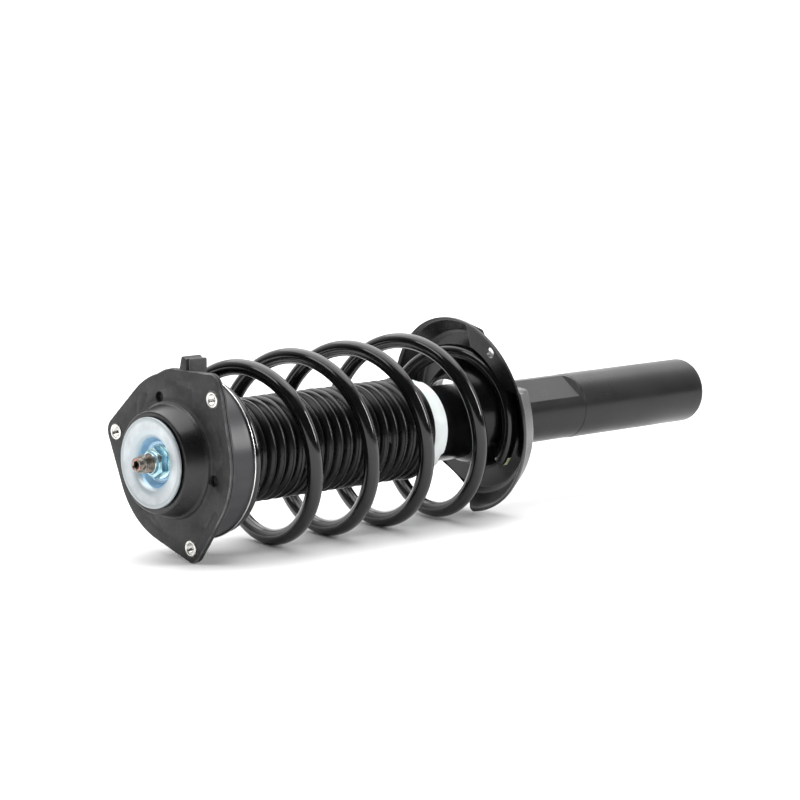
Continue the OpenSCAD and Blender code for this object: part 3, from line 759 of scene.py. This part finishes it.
WIRE_R = 6.3
TURN_FIRST, TURN_LAST = -1.0, 4.6
COIL_TOP_R, COIL_MID_R, COIL_GROWTH, COIL_END_R, COIL_END_RISE = 53.0, 69.0, 0.6, 54.5, 3.0
COIL_START_S, COIL_END_S = 57.5, 336.0
RISE_FROM, RISE_BLEND, SET_BLEND = -0.55, 0.5, 0.4
COIL_PITCH = (COIL_END_S - COIL_START_S) / ((TURN_LAST - RISE_FROM) - RISE_BLEND / 2 - SET_BLEND / 2)


def run_up(u, w):
    return 0.0 if u <= 0 else u * u / (2 * w) if u < w else u - w / 2


def coil_point(n):
    if n < (TURN_FIRST + TURN_LAST) / 2:
        s = COIL_START_S + COIL_PITCH * run_up(n - RISE_FROM, RISE_BLEND)
    else:
        s = COIL_END_S - COIL_PITCH * run_up(TURN_LAST - n, SET_BLEND)
    free_r = COIL_MID_R + COIL_GROWTH * n
    top, end = 1 - smooth(n + 0.5), smooth((n - 3.65) / 0.6)
    r = free_r * (1 - top) * (1 - end) + COIL_TOP_R * top + COIL_END_R * end
    rise = (free_r + WIRE_R - AXIS_HEIGHT) * (1 - top) * (1 - end) + COIL_END_RISE * end
    a = math.tau * n
    return Vector((r * math.cos(a), rise + r * math.sin(a), s))


def make_spring():
    sides, steps = 28, 560
    turns = TURN_LAST - TURN_FIRST
    stations = [(TURN_FIRST + turns * i / steps, 1.0) for i in range(steps + 1)]
    tip = 0.0015
    stations = ([(TURN_FIRST, 0.90), (TURN_FIRST + tip, 0.97)] + stations[1:-1]
                + [(TURN_LAST - tip, 0.97), (TURN_LAST, 0.90)])
    loops = []
    for n, share in stations:
        p = coil_point(n)
        along = (coil_point(n + 0.002) - coil_point(n - 0.002)).normalized()
        out = Vector((math.cos(math.tau * n), math.sin(math.tau * n), 0))
        across = (out - along * out.dot(along)).normalized()
        side = along.cross(across)
        loops.append([p + WIRE_R * share * (math.cos(math.tau * k / sides) * across
                                            + math.sin(math.tau * k / sides) * side)
                      for k in range(sides)])
    spring = rings("spring", loops, sharp=50)
    piece(spring, "upper_seat", "spring_coat", "coil_spring",
          materials=(spring_coat.material, paint_mark.material))
    second_material(spring, lambda r, a, s: s > 334 and 208 < a % 360 < 214)
    return spring


spring = make_spring()

# ---------- bellows ----------

RIB_START, RIB_END, RIB_COUNT, RIB_R, RIB_DEPTH = 56.0, 256.0, 20, 41.0, 6.0


def make_bellows():
    pitch = (RIB_END - RIB_START) / RIB_COUNT
    outer = []
    per_rib = 9
    for i in range(RIB_COUNT):
        for k in range(per_rib):
            t = (k + 0.5) / per_rib
            x = abs(2 * t - 1)
            outer.append((RIB_R - RIB_DEPTH * x ** 2.1, RIB_START + pitch * (i + t)))
    wall = 1.3
    inner = [(r - wall, s) for r, s in reversed(outer)]
    profile = rounded([(29.0, 41.6), (43.3, 41.6), (43.3, 43.0), (35.6, 43.2, 1.0),
                       (35.3, 55.0, 0.8)], 0.4, 3)
    profile += outer
    profile += rounded([(35.4, 256.4, 0.3), (38.4, 256.8, 0.8), (41.2, 258.4, 1.0), (41.9, 260.0, 0.8),
                        (41.9, 262.4, 0.5), (41.2, 263.2, 0.4), (39.9, 263.2, 0.3), (39.8, 260.4, 0.5),
                        (36.6, 258.2, 0.8), (34.0, 257.4, 0.5)], 0.4, 3)
    profile += inner
    profile += [(34.0, 55.0), (34.0, 43.2), (29.0, 43.2)]

    def uneven(r, angle, s):
        if s < RIB_START or s > RIB_END:
            return r, angle, s
        a = math.radians(angle)
        v = noise.noise(Vector((math.cos(a) * 1.3, math.sin(a) * 1.3, s * 0.11)))
        w = noise.noise(Vector((math.cos(a) * 0.9 + 7, math.sin(a) * 0.9, s * 0.05)))
        return r + 0.35 * v, angle, s + 0.9 * w

    bellows = turned("bellows_boot", profile, around=132, shape=uneven, sharp=60)
    return piece(bellows, "upper_seat", "bellows_rubber", "bellows", materials=(bellows_rubber.material,))


bellows = make_bellows()

# ---------- white cap ----------


def make_cap():
    profile = rounded([(14, 262, 0.3), (38.9, 262, 0.6), (39.5, 262.6, 0.4), (39.5, 264.4, 0.4),
                       (38.2, 265.4, 0.6), (38.2, 279.9, 0.5), (37.6, 280.7, 0.3), (36.1, 280.7, 0.3),
                       (36, 265.2, 0.6), (29.7, 265.0, 0.6), (29.7, 278.7, 0.3), (27.25, 278.7, 0.3),
                       (27.22, 270.5, 0.2), (24, 270.5, 0.2), (24, 265.0, 0.4), (14, 265.0, 0.3)], 0.4, 3)

    def notched(r, angle, s):
        for at in (96.0, 216.0, 336.0):
            away = abs((angle - at + 180) % 360 - 180)
            inside = 1 - smooth((away - 5.5) / 1.0)
            if r > 38.3 and s < 265.3:
                r -= (r - 37.6) * inside
            if s > 279.0 and r > 35.5:
                s -= 2.2 * inside
        return r, angle, s

    cap = turned("tube_cap_shell", divided(profile, 3.0), around=360, shape=notched, sharp=32)
    return piece(cap, "lower_unit", "cap_white", "tube_cap", materials=(cap_white.material,))


make_cap()

# ---------- damper tube ----------

TUBE_R, TUBE_WALL, END_S = 27.5, 2.4, 613.4
DRAWN_R, CLAMP_S = 27.2, 457.0
FLAT_FROM, FLAT_TO, FLAT_DEPTH, FLAT_DIR = 362.0, 452.0, 3.7, 126.5


def flattened(r, angle, s, wall=0.0):
    """The pressed flat: a plane that cuts the round, with short ramps at both ends."""
    ramp = max(FLAT_FROM - s, s - FLAT_TO, 0.0)
    depth = FLAT_DEPTH - ramp * (FLAT_DEPTH / 5.0)
    if depth <= 0:
        return r
    away = (angle - FLAT_DIR + 180) % 360 - 180
    if abs(away) > 60:
        return r
    plane = (TUBE_R - depth - wall) / math.cos(math.radians(away))
    k = 0.16
    h = max(k - abs(r - plane), 0.0) / k
    return min(r, plane) - h * h * k / 4


def make_tube():
    around = 480
    stations = [271.0, 271.3, 272.0, 276.0, 300.0, 330.0, 350.0]
    stations += [355.0 + 0.25 * i for i in range(36)]
    stations += list(np.linspace(364.5, 449.5, 30))
    stations += [450.5 + 0.25 * i for i in range(36)]
    stations += list(np.linspace(460.5, 600.0, 24))
    loops = []

    def loop(r, s, wall=0.0):
        turn = [360 * j / around for j in range(around)]
        loops.append([polar(flattened(r, a, s, wall), a, s) for a in turn])

    loop(19.2, 271.2)
    loop(25.2, 271.0)
    for s in stations:
        lip = 1.6 * (1 - math.sqrt(max(0.0, 1 - max(0.0, (272.6 - s) / 1.6) ** 2)))
        loop(DRAWN_R + (TUBE_R - DRAWN_R) * smooth((s - CLAMP_S) / 0.8) - lip, s)
    loop(TUBE_R, 607.4)
    for k in range(1, 13):
        a = math.radians(90 * k / 12)
        loop(TUBE_R - 6 * (1 - math.cos(a)), 607.4 + 6 * math.sin(a))
    loop(14.0, END_S - 0.02)
    loop(0.05, END_S - 0.05)
    loop(0.05, END_S - 3)
    loop(21.0, END_S - 3)
    loop(24.2, END_S - 4.6)
    loop(TUBE_R - TUBE_WALL, END_S - 8)
    for s in reversed([s for s in stations if s > 274]):
        loop(TUBE_R - TUBE_WALL, s, TUBE_WALL)
    loop(TUBE_R - TUBE_WALL, 273.4)
    loop(19.2, 273.2)
    tube = rings("damper_tube", loops, sharp=24, closed=True)
    return piece(tube, "lower_unit", "tube_paint", "outer_tube", materials=(tube_paint.material,))


make_tube()

# ---------- lower spring seat ----------

SEAT_R, SEAT_S, SEAT_LEAN, SEAT_TURN = 82.0, 330.0, 6.9, 5.0
DISH_R = 47.0
SEAT_RISE = SEAT_R * math.cos(math.radians(SEAT_LEAN)) - AXIS_HEIGHT + 0.4
TRIM_OFFSET, TRIM_DIR = 66.0, -59.0
HOLE_R, HOLE_AT, HOLE_DIR = 4.6, 73.5, 129.8
PANEL_FROM, PANEL_TO = 104.0, 161.0

SEAT_TILT = (Matrix.Rotation(math.radians(-SEAT_TURN), 3, "Y")
             @ Matrix.Rotation(math.radians(-SEAT_LEAN), 3, "X"))


def in_seat(x, y, z):
    p = SEAT_TILT @ Vector((x, y, z))
    return (p.x, p.y + SEAT_RISE, p.z + SEAT_S)


def curve_through(stops, soften, samples=240):
    """A height over radius through the stops, with its corners softened."""
    rs = np.linspace(stops[0][0], stops[-1][0], samples)
    hs = np.interp(rs, [r for r, _ in stops], [h for _, h in stops])
    width = max(1, int(soften / (rs[1] - rs[0])))
    kernel = np.hanning(2 * width + 3)[1:-1]
    padded = np.concatenate([np.full(width, hs[0]), hs, np.full(width, hs[-1])])
    hs = np.convolve(padded, kernel / kernel.sum(), "valid")
    return lambda r: float(np.interp(r, rs, hs))


# heights of the dish's two faces over the radius, round the seat and across the raised flat
FRONT = curve_through([(47, 16.6), (48.5, 18), (65.5, 18), (69.6, 15.6), (78, 2.6), (79.2, 0.8),
                       (82, 0)], 1.6)
BACK = curve_through([(47, 21), (68, 21), (72, 19.6), (80.4, 4.8), (82, 2.4)], 1.6)
FRONT_P = curve_through([(47, 16.6), (48.5, 18), (55.5, 18), (58.5, 16.4), (60.4, 14.4), (61.5, 3.6),
                         (62.9, 1.7), (80, 0.5), (82, 0.1)], 0.5)
BACK_P = curve_through([(47, 21), (54.5, 21), (58.5, 18.6), (61.6, 15.6), (63.0, 12.0), (63.8, 6.4),
                        (65.0, 4.2), (80.6, 3.0), (82, 2.2)], 0.5)


def panel_share(r, angle):
    """1 on the raised flat, 0 off it. Its two ends lean outwards in a curve."""
    a = angle % 360
    start = PANEL_FROM + 0.35 * max(0.0, 76.0 - r)
    end = PANEL_TO - 0.4 * max(0.0, 76.7 - r)
    return smooth((a - start + 0.6) / 2.4) * smooth((end + 1.8 - a) / 2.4)


def seat_heights(r, angle):
    w = panel_share(r, angle)
    return (FRONT(r) * (1 - w) + FRONT_P(r) * w, BACK(r) * (1 - w) + BACK_P(r) * w)


def make_lower_seat():
    # directions, closer together where the raised flat starts and ends
    turns = sorted({*np.arange(0, 360, 1.0), *np.arange(100, 115, 0.25), *np.arange(151, 167, 0.25)})
    outer = sorted({*np.linspace(DISH_R, SEAT_R, 50), *np.linspace(59, 66, 21)})
    front_in = [(31.6, -8.4), (33.5, -7.6), (36.2, -5.0), (38.6, -1.8), (40.6, 1.8), (42.2, 5.2),
                (43.4, 8.6), (44.5, 12.0), (45.6, 15.0)]
    back_in = [(46.0, 20.9), (44.4, 20.3), (43.0, 19.0), (41.8, 16.0), (40.6, 11.6), (39.0, 7.0),
               (37.0, 2.8), (34.4, -0.8), (31.4, -3.4)]
    cols = len(turns)
    grid = []
    for angle in turns:
        limit = SEAT_R
        toward = math.cos(math.radians(angle - TRIM_DIR))
        if toward > 0.5:
            limit = min(SEAT_R, TRIM_OFFSET / toward)
        line = []
        for r, z in front_in:
            line.append(in_seat(*polar(r, angle, z)))
        share = (limit - DISH_R) / (SEAT_R - DISH_R)
        a = math.radians(angle)
        wobble = 0.12 * noise.noise(Vector((math.cos(a) * 3, math.sin(a) * 3, 0)))
        for r in outer:
            q = DISH_R + (r - DISH_R) * share
            z = seat_heights(q, angle)[0]
            line.append(in_seat(*polar(q, angle, z + wobble)))
        for r in reversed(outer):
            q = DISH_R + (r - DISH_R) * share
            z = seat_heights(q, angle)[1]
            if r == outer[-1]:
                q -= 0.35
            line.append(in_seat(*polar(q, angle, z + wobble)))
        for r, z in back_in:
            line.append(in_seat(*polar(r, angle, z)))
        grid.append(line)
    rows = len(grid[0])
    points = [grid[j][i] for i in range(rows) for j in range(cols)]
    dish = build("lower_seat_dish", points, lattice_faces(rows, cols, True, True), 34)
    x, y, _ = polar(HOLE_AT, HOLE_DIR, 0)
    hole = rings("hole", [[in_seat(x + HOLE_R * math.cos(math.tau * k / 40),
                                   y + HOLE_R * math.sin(math.tau * k / 40), z) for k in range(40)]
                          for z in (-12.0, 40.0)])
    cut(dish, [hole])
    sleeve = rounded([(27.25, 283.5, 0.4), (30.4, 283.5, 0.9), (31.0, 284.6, 0.6), (31.0, 352.4, 0.4),
                      (30.6, 353.0, 0.3), (27.25, 353.0, 0.3)], 0.3, 3)
    neck = turned("neck", divided(sleeve, 6.0), 144)
    cut(dish, [neck], "UNION")
    shade(dish.data, 34)
    piece(dish, "lower_unit", "seat_paint", "lower_spring_seat", materials=(seat_paint.material,))
    return dish


make_lower_seat()


def bead(name, r, s, width, height, waves, seed, tilt=None):
    """A weld bead round the tube, with overlapping ripples."""
    around, ring = 360, 14
    points = []
    for j in range(around):
        angle = 360 * j / around
        a = math.radians(angle)
        ripple = abs(math.sin(a * waves / 2)) ** 0.6
        drift = noise.noise(Vector((math.cos(a) * 2 + seed, math.sin(a) * 2, 0.3)))
        w = width * (0.86 + 0.14 * ripple + 0.12 * drift)
        h = height * (0.80 + 0.20 * ripple + 0.14 * drift)
        for k in range(ring):
            t = math.tau * k / ring
            lift, across = math.sin(t), math.cos(t)
            radius = r + (h * lift if lift > 0 else 0.25 * lift)
            at = s + w * across + 0.4 * drift
            points.append(polar(radius, angle, at) if tilt is None else tilt(radius, angle, at))
    return build(name, points, lattice_faces(around, ring, True, True), 60)


weld = bead("seat_weld_bead", 27.4, 355.2, 2.0, 2.4, 88, 1.0)
piece(weld, "lower_unit", "tube_paint", "seat_weld", materials=(weld_paint.material,))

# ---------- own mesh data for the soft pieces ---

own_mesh(spring)
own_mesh(bellows)

# ---------- stage, light and camera ----------


def make_floor():
    mesh = bpy.data.meshes.new("floor")
    half = 30.0
    corners = [(-half, -half, 0), (half, -half, 0), (half, half, 0), (-half, half, 0)]
    mesh.from_pydata(corners, [], [(0, 1, 2, 3)])
    floor = bpy.data.objects.new("floor", mesh)
    bpy.context.scene.collection.objects.link(floor)
    paper = Surface("floor_paper", (0.90, 0.90, 0.90), (0.93, 0.93, 0.93), (0.75, 0.85), 0.0, 3)
    paper.set(specular=0.1)
    mesh.materials.append(paper.material)
    return floor


def area_light(name, place, aim, size, power, colour=(1, 1, 1)):
    light = bpy.data.lights.new(name, "AREA")
    light.shape = "RECTANGLE"
    light.size, light.size_y = size
    light.energy = power
    light.color = colour
    obj = bpy.data.objects.new(name, light)
    obj.location = place
    obj.rotation_mode = "QUATERNION"
    obj.rotation_quaternion = (Vector(aim) - Vector(place)).to_track_quat("-Z", "Y")
    bpy.context.scene.collection.objects.link(obj)
    return obj


make_floor()
area_light("side_box", (1.0, -1.5, 0.95), (0.0, 0.0, 0.06), (0.26, 1.1), 20)
area_light("front_box", (-1.6, 0.3, 1.5), (-0.25, 0.0, 0.08), (0.9, 0.6), 7)

sky = bpy.data.lights.new("sky", "SUN")
sky.energy = 2.9
sky.angle = math.radians(80)
sky_object = bpy.data.objects.new("sky", sky)
sky_object.rotation_euler = (math.radians(-12), math.radians(8), 0)
bpy.context.scene.collection.objects.link(sky_object)

# white room, darker towards the side the strut faces
world = bpy.data.worlds.new("studio")
world.use_nodes = True
room = world.node_tree.nodes
backdrop = room["Background"]
direction = room.new("ShaderNodeTexCoord")
facing = room.new("ShaderNodeVectorMath")
facing.operation = "DOT_PRODUCT"
facing.inputs[1].default_value = (0.60, 0.62, 0.50)
fade = room.new("ShaderNodeMapRange")
fade.interpolation_type = "SMOOTHSTEP"
fade.inputs["From Min"].default_value = -0.10
fade.inputs["From Max"].default_value = 0.90
fade.inputs["To Min"].default_value = 0.06
fade.inputs["To Max"].default_value = 1.70
world.node_tree.links.new(direction.outputs["Generated"], facing.inputs[0])
world.node_tree.links.new(facing.outputs["Value"], fade.inputs["Value"])
world.node_tree.links.new(fade.outputs["Result"], backdrop.inputs["Strength"])
backdrop.inputs["Color"].default_value = (1.0, 1.0, 1.0, 1.0)
bpy.context.scene.world = world
bpy.context.scene.view_settings.view_transform = "Standard"

camera_data = bpy.data.cameras.new("camera")
camera_data.lens = 140.4
camera_data.sensor_width = 36.0
camera_data.clip_start, camera_data.clip_end = 0.05, 30.0
camera = bpy.data.objects.new("camera", camera_data)
camera.location = (-1.7863, -1.7937, 0.4377)
camera.rotation_euler = tuple(math.radians(v) for v in (82.33, 0.0, -44.29))
bpy.context.scene.collection.objects.link(camera)
bpy.context.scene.camera = camera
